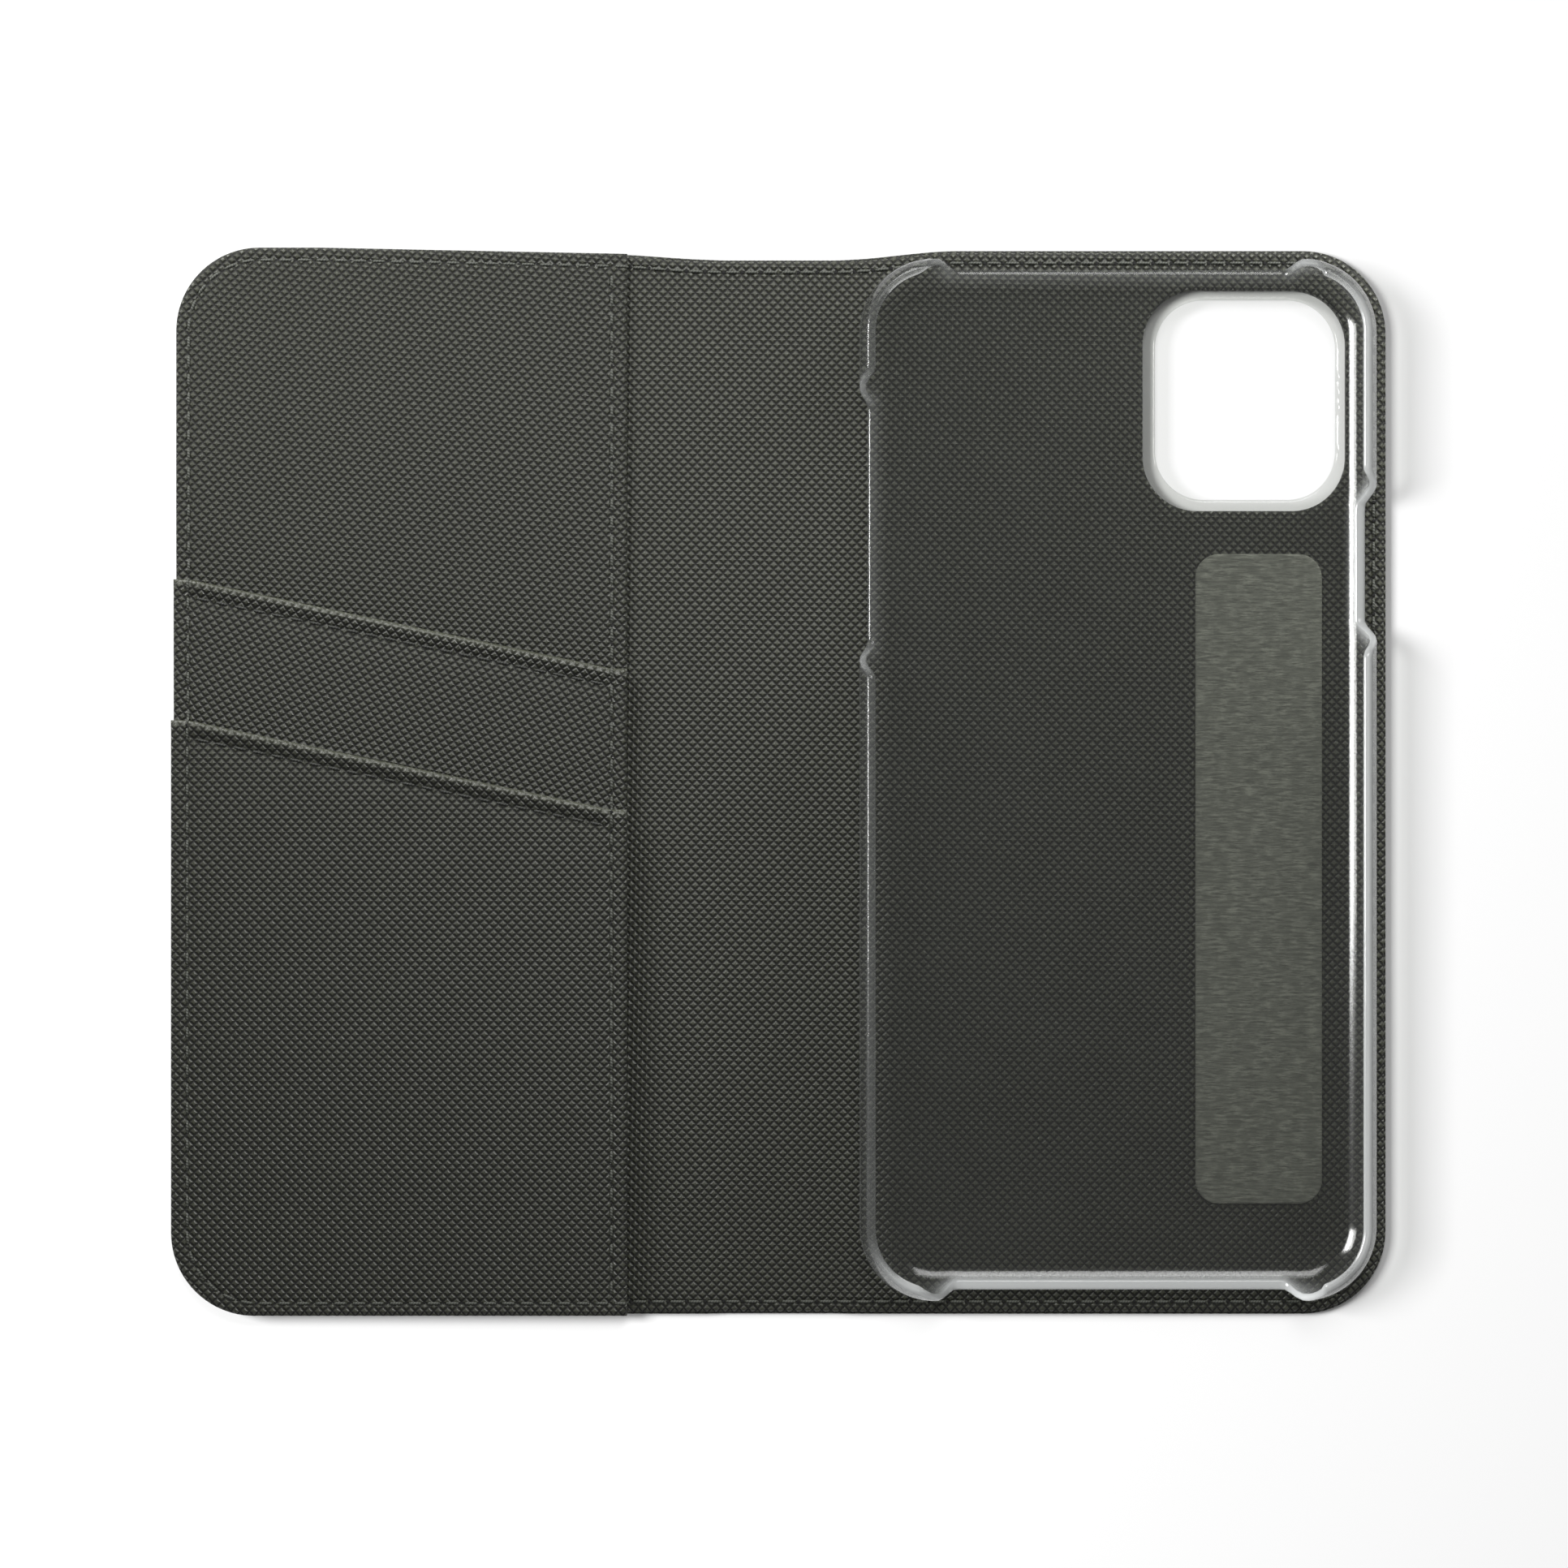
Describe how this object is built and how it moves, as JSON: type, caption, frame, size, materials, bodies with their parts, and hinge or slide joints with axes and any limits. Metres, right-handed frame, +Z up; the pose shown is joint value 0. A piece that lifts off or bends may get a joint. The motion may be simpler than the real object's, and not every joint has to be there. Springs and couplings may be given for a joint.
{
  "type": "phone wallet case",
  "caption": "Folio phone wallet case in cross-grained faux leather, lying open, with slanted card pockets, a folding spine and a clear snap-in phone shell.",
  "frame": {"origin": "centre of the open case's box, on the surface that it lies on", "axes": "+X from the front cover to the back panel, across the open width; +Y towards the top of the phone; +Z up, out of the case's inside"},
  "size_m": [0.1898, 0.1668, 0.011],
  "materials": {
    "outer_leather": "satin",
    "lining_leather": "satin",
    "pocket_leather": "satin",
    "board": "matte",
    "thread": "matte",
    "bond_strip": "matte",
    "clear_shell": "gloss"
  },
  "bodies": {
    "back_panel": {"back_skin": "outer_leather", "back_board": "board", "back_lining": "lining_leather", "back_edge_stitching": "thread", "shell_bond_strip": "bond_strip", "phone_shell": "clear_shell"},
    "spine": {"spine_skin": "outer_leather", "spine_stiffener": "board", "spine_lining": "lining_leather", "spine_top_stitching": "thread", "spine_bottom_stitching": "thread"},
    "front_cover": {"front_skin": "outer_leather", "front_board": "board", "front_lining": "lining_leather", "pocket_backing": "pocket_leather", "upper_card_pocket": "pocket_leather", "lower_card_pocket": "pocket_leather", "front_edge_stitching": "thread", "pocket_side_stitching": "thread", "upper_hem_stitching": "thread", "lower_hem_stitching": "thread"}
  },
  "joints": [
    {"name": "back_spine_fold", "type": "hinge", "parent": "back_panel", "child": "spine", "pos_m": [0.0078, 0, 0.0009], "axis": [0, 1, 0], "range_deg": [-90, 90]},
    {"name": "front_spine_fold", "type": "hinge", "parent": "spine", "child": "front_cover", "pos_m": [-0.0078, 0, 0.0009], "axis": [0, 1, 0], "range_deg": [-90, 90]}
  ]
}
